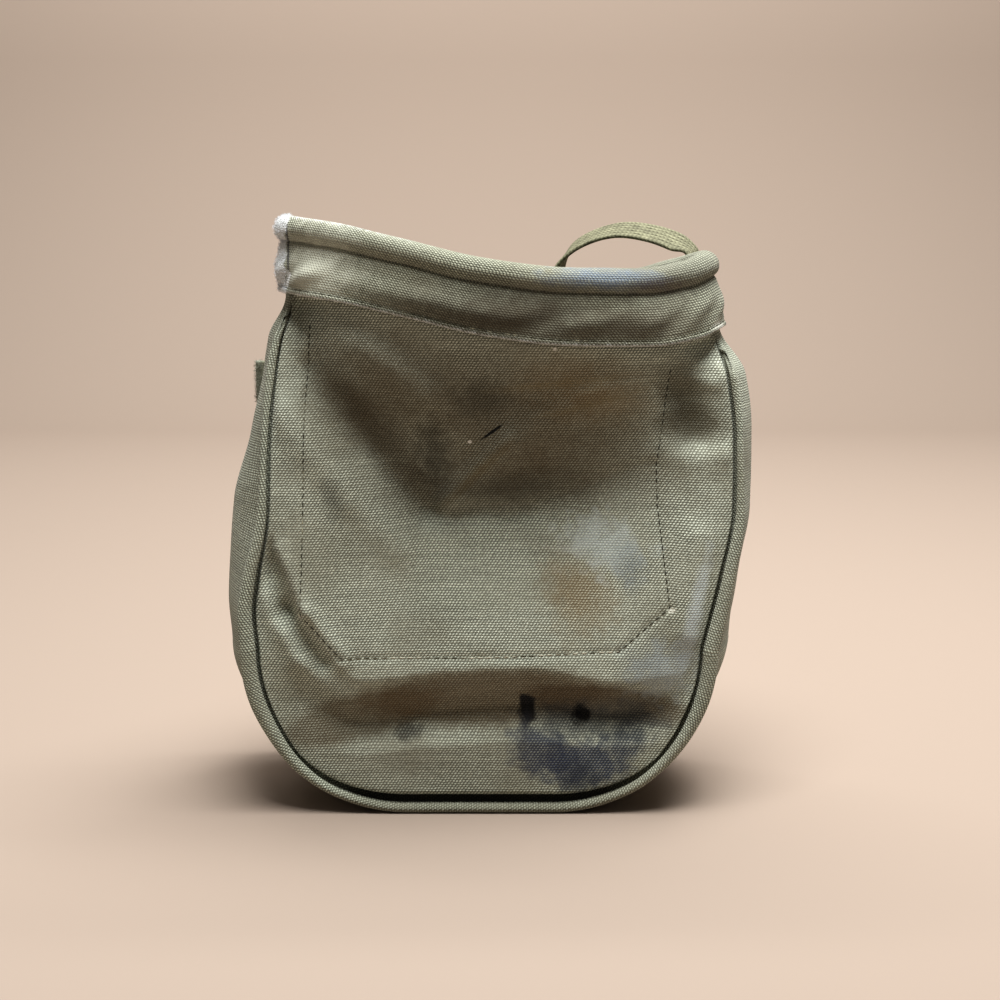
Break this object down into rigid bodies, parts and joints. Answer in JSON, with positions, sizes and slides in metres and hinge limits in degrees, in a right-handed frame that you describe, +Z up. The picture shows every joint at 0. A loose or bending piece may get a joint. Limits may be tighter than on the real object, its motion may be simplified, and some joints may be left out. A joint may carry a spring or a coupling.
{
  "type": "canvas tool bucket bag",
  "caption": "Open-topped canvas bucket bag with a rolled, faced rim, a lipped gusset, an inner patch pocket, a webbing hanging loop and a webbing strap across the back.",
  "frame": {"origin": "middle of the footprint, on the surface the bag stands on", "axes": "+Z up, the front with the pocket stitching faces -Y, +X to the viewer's right"},
  "size_m": [0.2314, 0.0986, 0.2528],
  "materials": {
    "canvas": "worn olive cotton duck",
    "rim_canvas": "rubbed olive cotton duck",
    "webbing": "olive cotton webbing"
  },
  "bodies": {
    "root": {"front_panel": "canvas", "gusset": "canvas", "back_panel": "canvas", "inner_pocket": "canvas", "rim_band": "rim_canvas", "hanging_loop": "webbing", "back_strap": "webbing"}
  },
  "joints": []
}
